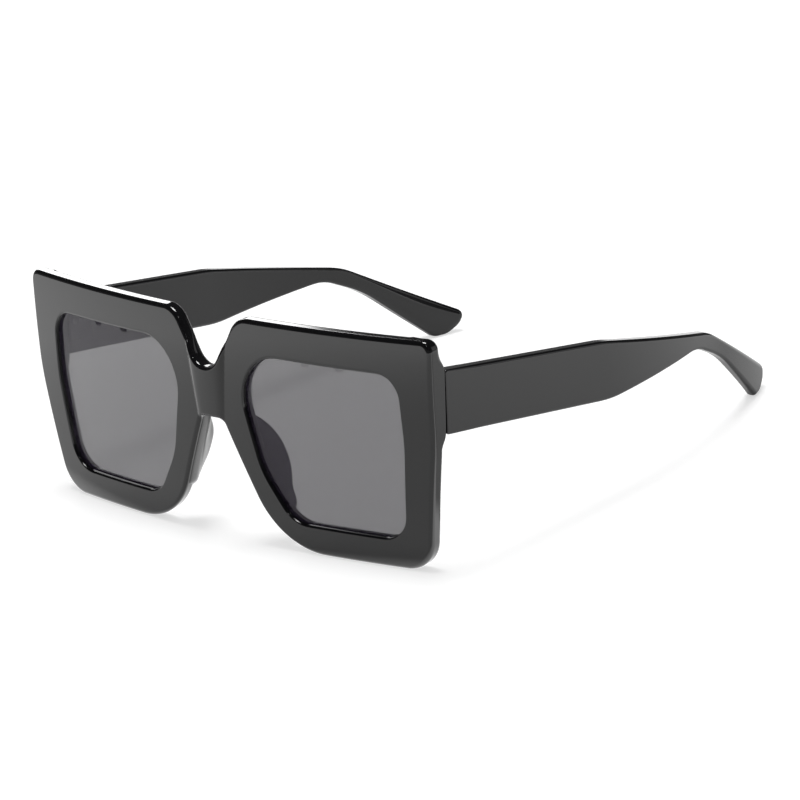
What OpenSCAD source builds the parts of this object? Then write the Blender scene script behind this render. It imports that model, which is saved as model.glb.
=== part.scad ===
// Oversized square sunglasses: a bowed front with two lenses in grooves, nose pads bonded
// behind the rims, and two temples with wire cores that fold on five-barrel hinges.
// The glasses stand on the rims and the temple tips, with the floor at z = 0.
// The front looks towards -Y and +X is the wearer's left.
// The origin is at the middle of the footprint.

/* [Lenses] */
// Width of a lens opening
lens_w = 52; // [48:0.2:57]
// Height of a lens opening
lens_h = 43.8; // [40:0.1:48]
// Distance between the two lens openings
bridge_w = 23.2; // [21:0.2:27]
// Thickness of a lens
lens_t = 1.4; // [1.2:0.1:1.8]
// Depth of a lens behind the front face
lens_recess = 1.6; // [1.3:0.1:1.8]
// Depth of the groove that holds the edge of a lens
groove_d = 0.9; // [0.7:0.1:1.1]

/* [Front] */
// Rim beside a lens opening, at the temple
outer_rim = 9.8; // [8.6:0.1:11]
// Rim above a lens opening
top_rim = 9; // [7:0.1:11]
// Rim below a lens opening
bottom_rim = 7.8; // [6:0.1:9]
// Thickness of the front
front_t = 3.9; // [3.8:0.1:5]
// Radius of the front's bow, the same across and up
bow_r = 400; // [340:5:600]
// Height of the foremost point of the bow
bow_z = 15.5; // [10:0.5:30]
// Width of the notch between the brows, at its bottom
notch_w = 6; // [5:0.2:8]
// Depth of the notch between the brows
notch_d = 14; // [12:0.1:16]
// Distance between the two brow shoulders
shoulder_w = 22.2; // [20:0.2:26]
// Width of the flat arch under the bridge
arch_w = 7.6; // [7:0.2:10]
// Height of the arch above the floor
arch_z = 33; // [30:0.1:35]
// Distance between the inner feet of the rims, before rounding
foot_gap = 38.2; // [37:0.2:43]
// How far the outer feet of the rims stand in from the widest point
foot_in = 6.1; // [4:0.1:8]
// Height where the outer edge starts to turn in
side_z = 34; // [30:0.5:40]
// How far the round bridge stands out at the bottom of the notch
bridge_out = 1.2; // [0.9:0.1:1.4]
// How far the round bridge stands out at the arch
bridge_low = 0.6; // [0.4:0.1:0.8]
// Width of the round bridge at the bottom of the notch
bridge_bar = 13; // [12:0.2:14]

/* [Temples] */
// Length of a temple from its joint to its tip
temple_l = 137.6; // [126:0.2:148]
// Height of a temple at its joint
temple_h = 16.5; // [15:0.1:18]
// Thickness of a temple
temple_t = 3.8; // [3.4:0.1:4.4]
// Height of the hinge above the floor
hinge_z = 43.8; // [42:0.1:45]
// Lean of the hinges and joints, the top towards the back
lean = 6.6; // [5:0.1:9]
// Splay of the open temples, away from each other
splay = 1.4; // [0:0.1:2]
// Radius of the inward curve behind the ear
ear_r = 175; // [160:1:220]
// Width of the wire core
core_w = 1.2; // [1:0.1:1.4]
// Height of the wire core
core_h = 1.6; // [1.2:0.1:1.8]

/* [Hinges] */
// Radius of a hinge barrel
barrel_r = 1.25; // [1.15:0.05:1.4]
// Height of one barrel
barrel_h = 1.7; // [1.5:0.05:1.8]
// Radius of the hinge screw
pin_r = 0.6; // [0.5:0.05:0.7]
// Thickness of a hinge leaf
leaf_t = 1; // [0.8:0.05:1.2]
// How far the end piece stands out behind the front
lug_out = 1.1; // [0.9:0.1:2]

/* [Nose pads] */
// Height of a nose pad
pad_h = 26; // [20:0.5:27]
// How far a nose pad stands out behind the front
pad_d = 8.7; // [6:0.1:9]
// Thickness of a nose pad
pad_t = 2.4; // [2:0.1:3]
// Splay of a nose pad towards the back
pad_splay = 25; // [20:1:32]

/* [Hidden] */

// Roundness of the bows and ear curves, and of the small round pieces
bow_fn = 360;
round_fn = 48;
// Steps along a rounded corner of an outline
corner_steps = 7;
// What a cut runs past a face
overrun = 1;
// Gap around a lens edge, a core and a sunk leaf
fit_gap = 0.05;
// Gap between a hinge screw and its bores
pin_gap = 0.05;
// Gap between two hinge barrels
barrel_gap = 0.1;
// Gap between the barrels and the end piece, and between the barrels and the temple
swing_gap = 0.15;
side_gap = 0.3;
// Gap in the joint between the end piece and the temple
joint_gap = 0.3;

// Overall sizes that follow
half_w = bridge_w / 2 + lens_w + outer_rim;
front_h = bottom_rim + lens_h + top_rim;
front_depth = bow_depth(half_w, front_h) + front_t;
side_depth = bow_depth(half_w, hinge_z) + front_t;

// Corner radii of the front's outline
notch_r = 3.3;
shoulder_r = 7;
brow_r = 3.4;
side_r = 70;
outer_foot_r = 9;
inner_foot_r = 23;
arch_r = 2;
// How far the outer edge stands in where it starts to turn
side_in = 0.6;

// Round bar of the bridge: its radius, its front at the notch and the arch, and its tilt
bar_r = bridge_bar * bridge_bar / (8 * bridge_out) + bridge_out / 2;
bar_top_z = front_h - notch_d;
bar_top_y = bow_depth(0, bar_top_z) - bridge_out;
bar_low_y = bow_depth(0, arch_z) - bridge_low;
bar_tilt = atan2(bar_top_y - bar_low_y, bar_top_z - arch_z);

// Corners of a lens opening, from the nose side and from its bottom:
// shares of its width and height, and the radius as a share of its height
opening_share = [
    [-0.051, 1, 0.29],
    [0.987, 0.987, 0.153],
    [1, 0.579, 1.12],
    [0.947, 0, 0.174],
    [0.254, 0, 0.205],
    [0.086, 0.302, 0.58]
];

// Place of the hinge: side of the temple, axis of the barrels, faces of the joint
temple_x = half_w - 0.25 * leaf_t;
temple_in = temple_x - temple_t;
axis_x = temple_in - side_gap - barrel_r;
face_in = barrel_r + swing_gap;
axis_y = side_depth + lug_out + face_in;
joint_in = face_in - joint_gap;
lug_w = temple_x - axis_x + 1.75 * barrel_r;
lug_h = temple_h + 0.2 * leaf_t;
lug_rise = 4;
lug_reach = front_t + lug_out;

// Barrels: three on the front leaf, two on the temple leaf between them
barrel_count = 5;
barrel_pitch = barrel_h + barrel_gap;
barrels_h = barrel_count * barrel_h + (barrel_count - 1) * barrel_gap;
head_r = 1.75 * pin_r;
head_h = 0.7;
// Leaves and their screws
front_leaf_w = 2.4 * barrel_r;
front_leaf_h = 14.6;
front_leaf_screw_z = 5.9;
temple_leaf_l = 11;
temple_leaf_h = 10.4;
temple_leaf_start = 0.5;
leaf_screw_r = 0.5;
leaf_screw_head_r = 0.9;
leaf_screw_head_h = 0.5;
front_leaf_screw_l = 3;
temple_leaf_screw_l = 2.3;
temple_leaf_screw_share = [0.48, 0.82];

// Start of the temple at the height of the hinge, and where its ear curve starts
temple_y = side_depth + lug_out + joint_gap;
ear_share = 0.41;
ear_y = temple_y + ear_share * temple_l;

// Corners of a temple seen from the side: shares of its length and of the hinge's height,
// and the radius as a share of the temple's height
temple_share = [
    [0.417, 0.937, 3.6],
    [0.743, 0.637, 1.3],
    [1, 0.112, 0.16],
    [0.988, 0.066, 0.18],
    [0.944, 0, 0.3],
    [0.924, 0, 0.15],
    [0.784, 0.436, 2.4],
    [0.697, 0.589, 0.83],
    [0.417, 0.576, 2.4]
];
temple_end_r = 0.6;

// Middle line of the wire core, as the same shares
core_share = [
    [0.105, 0.93],
    [0.4, 0.78],
    [0.64, 0.67],
    [0.735, 0.6],
    [0.8, 0.475],
    [0.93, 0.12]
];

// Nose pad: corners from its middle, as shares of its reach and height, and the radius
// as a share of its reach
pad_share = [
    [-0.5, 0.5, 0.2],
    [0.48, 0.5, 0.6],
    [1, 0.16, 0.9],
    [1, -0.13, 0.9],
    [0.7, -0.53, 0.7],
    [-0.5, -0.48, 0.2]
];
pad_z_share = 0.62;

// How far the front's face lies back at x and height z
function bow_depth(x, z) = bow_r - sqrt(bow_r * bow_r - x * x - pow(z - bow_z, 2));

// Unit vector along v
function unit(v) = v / norm(v);

// Item i of a closed list
function around(list, i) = list[(i + len(list)) % len(list)];

// Corner i of an outline: the corner and the unit vectors to its two neighbours
function spot(p) = [p.x, p.y];
function back_dir(list, i) = unit(spot(around(list, i - 1)) - spot(list[i]));
function next_dir(list, i) = unit(spot(around(list, i + 1)) - spot(list[i]));
function shorter_side(list, i) = min(
    norm(spot(around(list, i - 1)) - spot(list[i])),
    norm(spot(around(list, i + 1)) - spot(list[i]))
);

// Points of the arc that rounds corner i, limited to half of the shorter side beside it
function corner_arc(list, i) =
    let (
        u = back_dir(list, i),
        v = next_dir(list, i),
        half = acos(u * v) / 2,
        reach = min(list[i][2] / tan(half), shorter_side(list, i) / 2),
        r = reach * tan(half),
        centre = spot(list[i]) + unit(u + v) * r / sin(half),
        from = spot(list[i]) + u * reach - centre,
        start = atan2(from.y, from.x),
        turn = (180 - 2 * half) * sign(v.x * u.y - v.y * u.x)
    )
    [for (k = [0:corner_steps]) let (a = start + turn * k / corner_steps) centre + r * [cos(a), sin(a)]];

// Outline with all its corners rounded; each corner is [x, y, radius]
function rounded(list) = [for (i = [0:len(list) - 1]) each corner_arc(list, i)];

// The same corners, moved outwards by d on an outline that bulges all round
function grown(list, d) = [
    for (i = [0:len(list) - 1])
        let (
            u = back_dir(list, i),
            v = next_dir(list, i),
            half = acos(u * v) / 2,
            p = spot(list[i]) - unit(u + v) * d / sin(half)
        )
        [p.x, p.y, list[i][2] + d]
];

// One half of the front's outline, from the notch round to the arch
half_front = [
    [notch_w / 2, front_h - notch_d, notch_r],
    [shoulder_w / 2, front_h, shoulder_r],
    [half_w, front_h, brow_r],
    [half_w - side_in, side_z, side_r],
    [half_w - foot_in, 0, outer_foot_r],
    [foot_gap / 2, 0, inner_foot_r],
    [arch_w / 2, arch_z, arch_r]
];
front_corners = concat(
    half_front,
    [for (i = [len(half_front) - 1:-1:0]) [-half_front[i].x, half_front[i].y, half_front[i][2]]]
);

opening_corners = [
    for (s = opening_share)
        [bridge_w / 2 + s[0] * lens_w, bottom_rim + s[1] * lens_h, s[2] * lens_h]
];

temple_corners = concat(
    [[temple_y + temple_h / 2 * sin(lean), hinge_z + temple_h / 2 * cos(lean), temple_end_r]],
    [for (s = temple_share) [temple_y + s[0] * temple_l, s[1] * hinge_z, s[2] * temple_h]],
    [[temple_y - temple_h / 2 * sin(lean), hinge_z - temple_h / 2 * cos(lean), temple_end_r]]
);

// The nose side of a rim runs from the arch to the inner foot; a pad follows it
flank = [foot_gap / 2 - arch_w / 2, arch_z];
flank_lean = atan2(flank.x, flank.y);
pad_z = pad_z_share * arch_z;
pad_x = arch_w / 2 + (arch_z - pad_z) * flank.x / flank.y;
pad_y = bow_depth(pad_x, pad_z) + front_t;

// Foremost point of the front, on a flank because the arch is open at the bow's own crest
crest_gap = (arch_w / 2 * flank.y + (arch_z - bow_z) * flank.x) / norm(flank);
rim_crest_y = bow_r - sqrt(bow_r * bow_r - crest_gap * crest_gap);
crest_y = min(rim_crest_y, bar_low_y);

// End of a temple's tip, straight and then splayed
tip_y = max([for (p = rounded(temple_corners)) p.x]);
tip_x = temple_x - ear_r + sqrt(pow(ear_r - temple_t, 2) - pow(tip_y - ear_y, 2));
end_y = axis_y + (tip_y - axis_y) * cos(splay) + (axis_x - tip_x) * sin(splay);

core_line = [for (s = core_share) [temple_y + s[0] * temple_l, s[1] * hinge_z]];

// Puts a piece in the frame of the whole part
module placed() {
    translate([0, -(crest_y + end_y) / 2, 0])
        children();
}

// The wearer's left is side 1 and the right is side -1
module on_side(side) {
    placed()
        mirror([side < 0 ? 1 : 0, 0, 0])
            children();
}

// Outline of x and z, from y0 back to y1
module from_front(points, y0, y1) {
    translate([0, y1, 0])
        rotate([90, 0, 0])
            linear_extrude(y1 - y0)
                polygon(points);
}

// Outline of y and z, from x0 out to x1
module from_side(points, x0, x1) {
    translate([x0, 0, 0])
        rotate([90, 0, 90])
            linear_extrude(x1 - x0)
                polygon(points);
}

// Everything behind the face at depth d
module behind(d) {
    translate([0, bow_r, bow_z])
        sphere(r = bow_r - d, $fn = bow_fn);
}

// The layer of the bowed front between two depths behind its face
module bow_layer(d0, d1) {
    difference() {
        behind(d0);
        behind(d1);
    }
}

// A bowed plate with an outline of x and z, between two depths
module bowed_plate(points, d0, d1) {
    intersection() {
        from_front(points, -overrun, front_depth + overrun);
        bow_layer(d0, d1);
    }
}

// Turns what runs straight back at the axis out to the splay of the temples
module splayed() {
    translate([axis_x, axis_y, 0])
        rotate([0, 0, -splay])
            translate([-axis_x, -axis_y, 0])
                children();
}

// The hinge's own frame: Z along the barrels, Y back along the temple, at the axis
module at_hinge() {
    splayed()
        translate([axis_x, axis_y, hinge_z])
            rotate([-lean, 0, 0])
                children();
}

// End piece behind the front that carries the hinge
module lug() {
    intersection() {
        at_hinge()
            from_side(
                [
                    [-face_in - lug_reach, lug_h / 2 + lug_rise],
                    [-face_in - lug_out, lug_h / 2 + lug_rise],
                    [-face_in, lug_h / 2],
                    [-face_in, -lug_h / 2],
                    [-face_in - lug_out, -lug_h / 2 - lug_rise],
                    [-face_in - lug_reach, -lug_h / 2 - lug_rise]
                ],
                temple_x - axis_x - lug_w,
                temple_x - axis_x
            );
        from_front(rounded(front_corners), -overrun, axis_y + lug_h);
        behind(lens_recess);
    }
}

// Front leaf: a plate sunk in the end piece, grown by g for its pocket
module front_leaf_plate(g) {
    translate([-front_leaf_w / 2 - g, -face_in - leaf_t - g, -front_leaf_h / 2 - g])
        cube([front_leaf_w + 2 * g, leaf_t + g + (g > 0 ? overrun : 0), front_leaf_h + 2 * g]);
}

// Temple leaf: a plate sunk in the temple's inner side, grown by g for its pocket
module temple_leaf_plate(g) {
    over = g > 0 ? side_gap : 0;
    translate([barrel_r + side_gap - over, temple_leaf_start - joint_in - g, -temple_leaf_h / 2 - g])
        cube([leaf_t + over + g, temple_leaf_l + 2 * g, temple_leaf_h + 2 * g]);
}

// Height of barrel i in the hinge's frame
function barrel_z(i) = -barrels_h / 2 + i * barrel_pitch;

// The bore through all the barrels
module pin_bore() {
    translate([0, 0, -barrels_h / 2 - overrun])
        cylinder(r = pin_r + pin_gap, h = barrels_h + 2 * overrun, $fn = round_fn);
}

// A leaf screw along +Z with its head's flat top at 0, grown by g for its hole
module leaf_screw(l, g) {
    translate([0, 0, -l - g])
        cylinder(r = leaf_screw_r + g, h = l + g, $fn = round_fn);
    translate([0, 0, -leaf_screw_head_h - g])
        cylinder(r = leaf_screw_head_r + g, h = leaf_screw_head_h + g + (g > 0 ? overrun : 0), $fn = round_fn);
}

module front_leaf_screw_set(g) {
    for (s = [-1, 1])
        translate([0, -face_in, s * front_leaf_screw_z])
            rotate([-90, 0, 0])
                leaf_screw(front_leaf_screw_l, g);
}

module temple_leaf_screw_set(g) {
    for (s = temple_leaf_screw_share)
        translate([barrel_r + side_gap, temple_leaf_start - joint_in + s * temple_leaf_l, 0])
            rotate([0, -90, 0])
                leaf_screw(temple_leaf_screw_l, g);
}

// Round bar in front of the bridge, inside the front's outline
module round_bridge() {
    intersection() {
        from_front(rounded(front_corners), -bridge_out - overrun, front_depth);
        behind_bar();
        bow_layer(-bridge_out - overrun, front_t / 2);
    }
}

module behind_bar() {
    translate([0, bar_low_y, arch_z])
        rotate([-bar_tilt, 0, 0])
            translate([0, bar_r, -front_h])
                cylinder(r = bar_r, h = 2 * front_h, $fn = bow_fn);
}

module front_frame() {
    color("#18181a")
        placed()
            difference() {
                union() {
                    bowed_plate(rounded(front_corners), 0, front_t);
                    round_bridge();
                    for (m = [0, 1])
                        mirror([m, 0, 0])
                            lug();
                }
                for (m = [0, 1])
                    mirror([m, 0, 0]) {
                        from_front(rounded(opening_corners), -overrun, front_depth + overrun);
                        bowed_plate(
                            rounded(grown(opening_corners, groove_d)),
                            lens_recess - fit_gap,
                            lens_recess + lens_t + fit_gap
                        );
                        at_hinge() {
                            front_leaf_plate(fit_gap);
                            front_leaf_screw_set(fit_gap);
                        }
                    }
            }
}

module lens(side) {
    color("#3a3c42", 0.6)
        on_side(side)
            bowed_plate(rounded(grown(opening_corners, groove_d - fit_gap)), lens_recess, lens_recess + lens_t);
}

module nose_pad(side) {
    color("#1d1d1f")
        on_side(side)
            intersection() {
                translate([pad_x, pad_y, pad_z])
                    rotate([0, -flank_lean, 0])
                        rotate([0, 0, -pad_splay])
                            from_side(
                                rounded([for (s = pad_share) [s[0] * pad_d, s[1] * pad_h, s[2] * pad_d]]),
                                0,
                                pad_t
                            );
                behind(front_t);
            }
}

module front_leaf(side) {
    color("#b9bcc0")
        on_side(side)
            at_hinge()
                difference() {
                    union() {
                        front_leaf_plate(0);
                        for (i = [0:2:barrel_count - 1])
                            translate([0, 0, barrel_z(i)]) {
                                cylinder(r = barrel_r, h = barrel_h, $fn = round_fn);
                                translate([-barrel_r, -face_in, 0])
                                    cube([2 * barrel_r, face_in, barrel_h]);
                            }
                    }
                    pin_bore();
                    front_leaf_screw_set(fit_gap);
                }
}

module temple_leaf(side) {
    color("#b9bcc0")
        on_side(side)
            at_hinge()
                difference() {
                    union() {
                        temple_leaf_plate(0);
                        for (i = [1:2:barrel_count - 2])
                            translate([0, 0, barrel_z(i)]) {
                                cylinder(r = barrel_r, h = barrel_h, $fn = round_fn);
                                translate([0, temple_leaf_start - joint_in, 0])
                                    cube([barrel_r + side_gap, barrel_r - temple_leaf_start + joint_in, barrel_h]);
                            }
                    }
                    pin_bore();
                    temple_leaf_screw_set(fit_gap);
                }
}

module front_leaf_screws(side) {
    color("#d0d2d5")
        on_side(side)
            at_hinge()
                front_leaf_screw_set(0);
}

module temple_leaf_screws(side) {
    color("#d0d2d5")
        on_side(side)
            at_hinge()
                temple_leaf_screw_set(0);
}

module hinge_screw(side) {
    color("#d0d2d5")
        on_side(side)
            at_hinge()
                translate([0, 0, -barrels_h / 2]) {
                    cylinder(r = pin_r, h = barrels_h, $fn = round_fn);
                    translate([0, 0, barrels_h])
                        cylinder(r = head_r, h = head_h, $fn = round_fn);
                }
}

// The layer of a temple between two depths in from its outer side: straight to the ear
// curve, then round it
module temple_layer(d0, d1) {
    translate([temple_x - d1, 0, -overrun])
        cube([d1 - d0, ear_y, hinge_z + temple_h]);
    intersection() {
        translate([temple_x - ear_r, ear_y, -overrun])
            difference() {
                cylinder(r = ear_r - d0, h = hinge_z + temple_h, $fn = bow_fn);
                translate([0, 0, -overrun])
                    cylinder(r = ear_r - d1, h = hinge_z + temple_h + 2 * overrun, $fn = bow_fn);
            }
        translate([0, ear_y, -2 * overrun])
            cube([half_w, temple_l, hinge_z + temple_h + 2 * overrun]);
    }
}

// The wire core, grown by g for its channel
module core(g) {
    intersection() {
        from_side(
            concat(
                [for (p = core_line) [p.x, p.y + core_h / 2 + g]],
                [for (i = [len(core_line) - 1:-1:0]) [core_line[i].x, core_line[i].y - core_h / 2 - g]]
            ),
            0,
            half_w
        );
        temple_layer(temple_t / 2 - core_w / 2 - g, temple_t / 2 + core_w / 2 + g);
    }
}

module temple(side) {
    color("#18181a")
        on_side(side)
            difference() {
                splayed()
                    intersection() {
                        from_side(rounded(temple_corners), 0, half_w + overrun);
                        temple_layer(0, temple_t);
                    }
                splayed()
                    core(fit_gap);
                at_hinge() {
                    temple_leaf_plate(fit_gap);
                    temple_leaf_screw_set(fit_gap);
                }
            }
}

module temple_core(side) {
    color("#a9acb0")
        on_side(side)
            splayed()
                core(0);
}

front_frame();
lens(1);  // lens_left
lens(-1);  // lens_right
nose_pad(1);  // nose_pad_left
nose_pad(-1);  // nose_pad_right
front_leaf(1);  // front_leaf_left
front_leaf(-1);  // front_leaf_right
front_leaf_screws(1);  // front_leaf_screws_left
front_leaf_screws(-1);  // front_leaf_screws_right
hinge_screw(1);  // hinge_screw_left
hinge_screw(-1);  // hinge_screw_right
temple(1);  // temple_left
temple(-1);  // temple_right
temple_core(1);  // temple_core_left
temple_core(-1);  // temple_core_right
temple_leaf(1);  // temple_leaf_left
temple_leaf(-1);  // temple_leaf_right
temple_leaf_screws(1);  // temple_leaf_screws_left
temple_leaf_screws(-1);  // temple_leaf_screws_right
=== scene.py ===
# %% [markdown]
# # Oversized square sunglasses
# A pair of moulded black sunglasses stands open on a pale floor, resting on its two rims and
# its two temple tips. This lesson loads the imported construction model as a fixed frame, builds
# a finished skin for every piece that shows, and gives each one the surface of the real thing.

# %% Load the frame
import math

import bpy
import numpy as np
from mathutils import Matrix, Vector
from mathutils.geometry import delaunay_2d_cdt


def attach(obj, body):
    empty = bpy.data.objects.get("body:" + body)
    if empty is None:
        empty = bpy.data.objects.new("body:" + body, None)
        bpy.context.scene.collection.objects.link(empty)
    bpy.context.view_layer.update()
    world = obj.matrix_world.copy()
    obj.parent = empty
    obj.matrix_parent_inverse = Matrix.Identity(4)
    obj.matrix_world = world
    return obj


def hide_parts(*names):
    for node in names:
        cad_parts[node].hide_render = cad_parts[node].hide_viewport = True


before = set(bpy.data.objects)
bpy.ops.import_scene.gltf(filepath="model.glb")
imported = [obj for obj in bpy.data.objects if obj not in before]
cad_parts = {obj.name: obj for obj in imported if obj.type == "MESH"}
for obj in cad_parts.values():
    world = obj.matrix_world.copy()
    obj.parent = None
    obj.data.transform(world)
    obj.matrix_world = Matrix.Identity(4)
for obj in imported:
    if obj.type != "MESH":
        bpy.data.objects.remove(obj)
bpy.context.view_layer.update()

# %% [markdown]
# ## Sizes
# The tables below are in millimetres, because that is how an eyewear drawing gives them, and
# one factor turns them to Blender's metres. They repeat the sizes of the construction model:
# the front is a plate bent over a large ball, and a lens opening is an outline of six corners,
# each with its own radius.

# %% Sizes of the front
MM = 0.001
SHIFT = 75.1736
LENS_W, LENS_H, BRIDGE_W = 52.0, 43.8, 23.2
LENS_T, LENS_RECESS, GROOVE_D, FIT = 1.4, 1.25, 0.9, 0.05
OUTER_RIM, TOP_RIM, BOTTOM_RIM, FRONT_T = 9.8, 9.0, 7.8, 3.9
BOW_R, BOW_Z = 400.0, 15.5
HALF_W = BRIDGE_W / 2 + LENS_W + OUTER_RIM
FRONT_H = BOTTOM_RIM + LENS_H + TOP_RIM
ARCH_Z, ARCH_HALF, NOTCH_Z = 33.0, 3.8, FRONT_H - 14
FOOT_X, FOOT_R = 19.1, 23
BRIDGE_OUT, BRIDGE_LOW, BRIDGE_BAR, BAR_FOOT = 1.2, 0.6, 13.0, 4.8

# Each corner: x, z and the radius of its arc; the first is the bottom of the brow notch
half_front = [
    (3.0, NOTCH_Z, 5.0), (11.1, FRONT_H, 7), (HALF_W, FRONT_H, 3.0), (HALF_W - 0.6, 34, 70),
    (HALF_W - 6.1, 0, 9), (FOOT_X, 0, FOOT_R), (ARCH_HALF, ARCH_Z, 2),
]
front_corners = half_front + [(-x, z, r) for x, z, r in reversed(half_front)]
# The opening's corners as shares of its width and height, with radii as shares of its height
opening_share = [
    (-0.051, 1, 0.29), (0.987, 0.987, 0.153), (1, 0.579, 1.12),
    (0.947, 0, 0.174), (0.254, 0, 0.205), (0.086, 0.302, 0.58),
]
opening_corners = [
    (BRIDGE_W / 2 + a * LENS_W, BOTTOM_RIM + b * LENS_H, r * LENS_H) for a, b, r in opening_share
]

# %% Sizes of the hinge and the temples
HINGE_Z, LEAN, SPLAY = 43.8, math.radians(6.6), math.radians(1.4)
LEAF_T, LUG_OUT = 1.0, 1.1
TEMPLE_L, TEMPLE_H, TEMPLE_T, EAR_R = 137.6, 16.5, 3.8, 175.0
TEMPLE_X, AXIS_X = 73.15, 67.8
AXIS_Y = SHIFT - 60.9618
FACE_IN, JOINT_IN = 1.4, 1.1
TEMPLE_Y = AXIS_Y - JOINT_IN
EAR_Y = TEMPLE_Y + 0.41 * TEMPLE_L
LUG_H, LUG_RISE = 16.7, 4.0
# The temple's corners as shares of its length, the hinge height and its own height
temple_share = [
    (0.417, 0.937, 3.6), (0.743, 0.637, 1.3), (0.988, 0.128, 0.28), (0.977, 0.05, 0.25),
    (0.951, 0, 0.25), (0.924, 0, 0.15), (0.784, 0.436, 2.4), (0.697, 0.589, 0.83),
    (0.417, 0.576, 2.4),
]
lean_y, lean_z = TEMPLE_H / 2 * math.sin(LEAN), TEMPLE_H / 2 * math.cos(LEAN)
temple_corners = (
    [(TEMPLE_Y + lean_y, HINGE_Z + lean_z, 0.6)]
    + [(TEMPLE_Y + a * TEMPLE_L, b * HINGE_Z, r * TEMPLE_H) for a, b, r in temple_share]
    + [(TEMPLE_Y - lean_y, HINGE_Z - lean_z, 0.6)]
)
print("front %.1f wide, %.1f high; temple starts at %.2f" % (2 * HALF_W, FRONT_H, TEMPLE_Y))

# %% [markdown]
# ## Camera
# The photograph was taken from the wearer's left, a little above the glasses, with a long lens:
# the sides of the front hardly converge. The place, the turn and the focal length were fitted to
# the outlines beforehand. The rows below are the directions of the picture's right, its down and
# the view, and the long focal length keeps the perspective as weak as it is in the photograph.

# %% Camera
LOOK_RIGHT = Vector((0.71784109, 0.68507976, -0.12397536))
LOOK_DOWN = Vector((0.14365875, -0.31999575, -0.93646403))
LOOK_ALONG = Vector((-0.68122415, 0.65442221, -0.3281238))
CAMERA_PLACE = Vector((0.850676, -0.824889, 0.424402))
SENSOR = 36.0
FOCAL_IN_PICTURES = 4690.536 / 800

camera_data = bpy.data.cameras.new("camera")
camera_data.sensor_width = SENSOR
camera_data.lens = FOCAL_IN_PICTURES * SENSOR
camera_data.clip_start, camera_data.clip_end = 0.05, 20
camera = bpy.data.objects.new("camera", camera_data)
camera.matrix_world = Matrix.Translation(CAMERA_PLACE) @ Matrix(
    (LOOK_RIGHT, -LOOK_DOWN, -LOOK_ALONG)
).transposed().to_4x4()
bpy.context.scene.collection.objects.link(camera)
bpy.context.scene.camera = camera
bpy.context.scene.view_settings.view_transform = "Standard"
print("camera %.0f mm lens, %.2f m away" % (camera_data.lens, CAMERA_PLACE.length))

# %% [markdown]
# ## Outlines
# A moulded piece is drawn as a closed outline whose corners are arcs. Each corner below is a
# place and a radius. The arc is fitted between its two sides, and both the arcs and the
# straight runs are cut into short steps, because the gloss on a black surface shows every facet.
# Every point also keeps the direction that points out of the outline, for the shading later.

# %% Rounded outlines
def rounded(corners, step=1.0, arc_step=9.0):
    """Points of the outline with rounded corners, and the outward direction at each"""
    spots = [np.array(c[:2], float) for c in corners]
    count = len(spots)
    places, outs = [], []
    for i in range(count):
        here, before, after = spots[i], spots[i - 1], spots[(i + 1) % count]
        u = (before - here) / np.linalg.norm(before - here)
        v = (after - here) / np.linalg.norm(after - here)
        half = math.acos(float(np.clip(u @ v, -1, 1))) / 2
        shorter = min(np.linalg.norm(before - here), np.linalg.norm(after - here))
        reach = min(corners[i][2] / math.tan(half), shorter / 2)
        radius = reach * math.tan(half)
        centre = here + (u + v) / np.linalg.norm(u + v) * radius / math.sin(half)
        first = here + u * reach - centre
        bulge = np.sign(v[0] * u[1] - v[1] * u[0])
        sweep = (math.pi - 2 * half) * bulge
        by_angle = math.ceil(abs(math.degrees(sweep)) / arc_step)
        steps = max(3, by_angle, math.ceil(abs(sweep) * radius / step))
        start = math.atan2(first[1], first[0])
        for k in range(steps + 1):
            a = start + sweep * k / steps
            ray = np.array([math.cos(a), math.sin(a)])
            places.append(centre + radius * ray)
            outs.append(ray * -bulge)
    return fill_runs(np.array(places), np.array(outs), step)


def fill_runs(places, outs, step):
    """The same outline with extra points along its straight runs and none twice"""
    all_places, all_outs = [], []
    for i in range(len(places)):
        a, b = places[i], places[(i + 1) % len(places)]
        length = np.linalg.norm(b - a)
        if length < 1e-4:
            continue
        parts = max(1, math.ceil(length / step))
        for k in range(parts):
            t = k / parts
            all_places.append(a + (b - a) * t)
            out = outs[i] * (1 - t) + outs[(i + 1) % len(places)] * t
            all_outs.append(out / np.linalg.norm(out))
    return np.array(all_places), np.array(all_outs)


def eased(outline, radius, share=0.85, reach=4):
    """The same edge radii, but no larger than a tight corner of the outline allows"""
    points, outs = outline
    steps = np.roll(points, -1, axis=0) - points
    turns = np.roll(outs, -1, axis=0) - outs
    bulges = (steps * turns).sum(1) > 1e-9
    turned = np.maximum(np.linalg.norm(turns, axis=1), 1e-9)
    curve = np.where(bulges, np.linalg.norm(steps, axis=1) / turned, 1e9)
    limit = np.minimum(radius, share * np.minimum(curve, np.roll(curve, 1)))
    low = np.min([np.roll(limit, k) for k in range(-reach, reach + 1)], axis=0)
    return np.mean([np.roll(low, k) for k in range(-reach, reach + 1)], axis=0)


front_outline = rounded(front_corners, step=0.7)
opening_outline = rounded(opening_corners)
print("front outline of", len(front_outline[0]), "points, lens opening of", len(opening_outline[0]))

# %% [markdown]
# ## Skins
# A polished moulding has broad faces that meet in soft round edges. Box modelling with a
# subdivision surface would need many support loops round such a freely drawn outline, so the
# skin is laid directly instead: bands of four-sided faces follow the outline round each edge,
# and the broad faces between them are filled with even triangles. The shading direction of
# every corner is worked out from the real curve, which keeps the reflections clean.

# %% The skin builder
def unit(v):
    v = np.asarray(v, float)
    return v / np.linalg.norm(v, axis=-1, keepdims=True)


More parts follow.
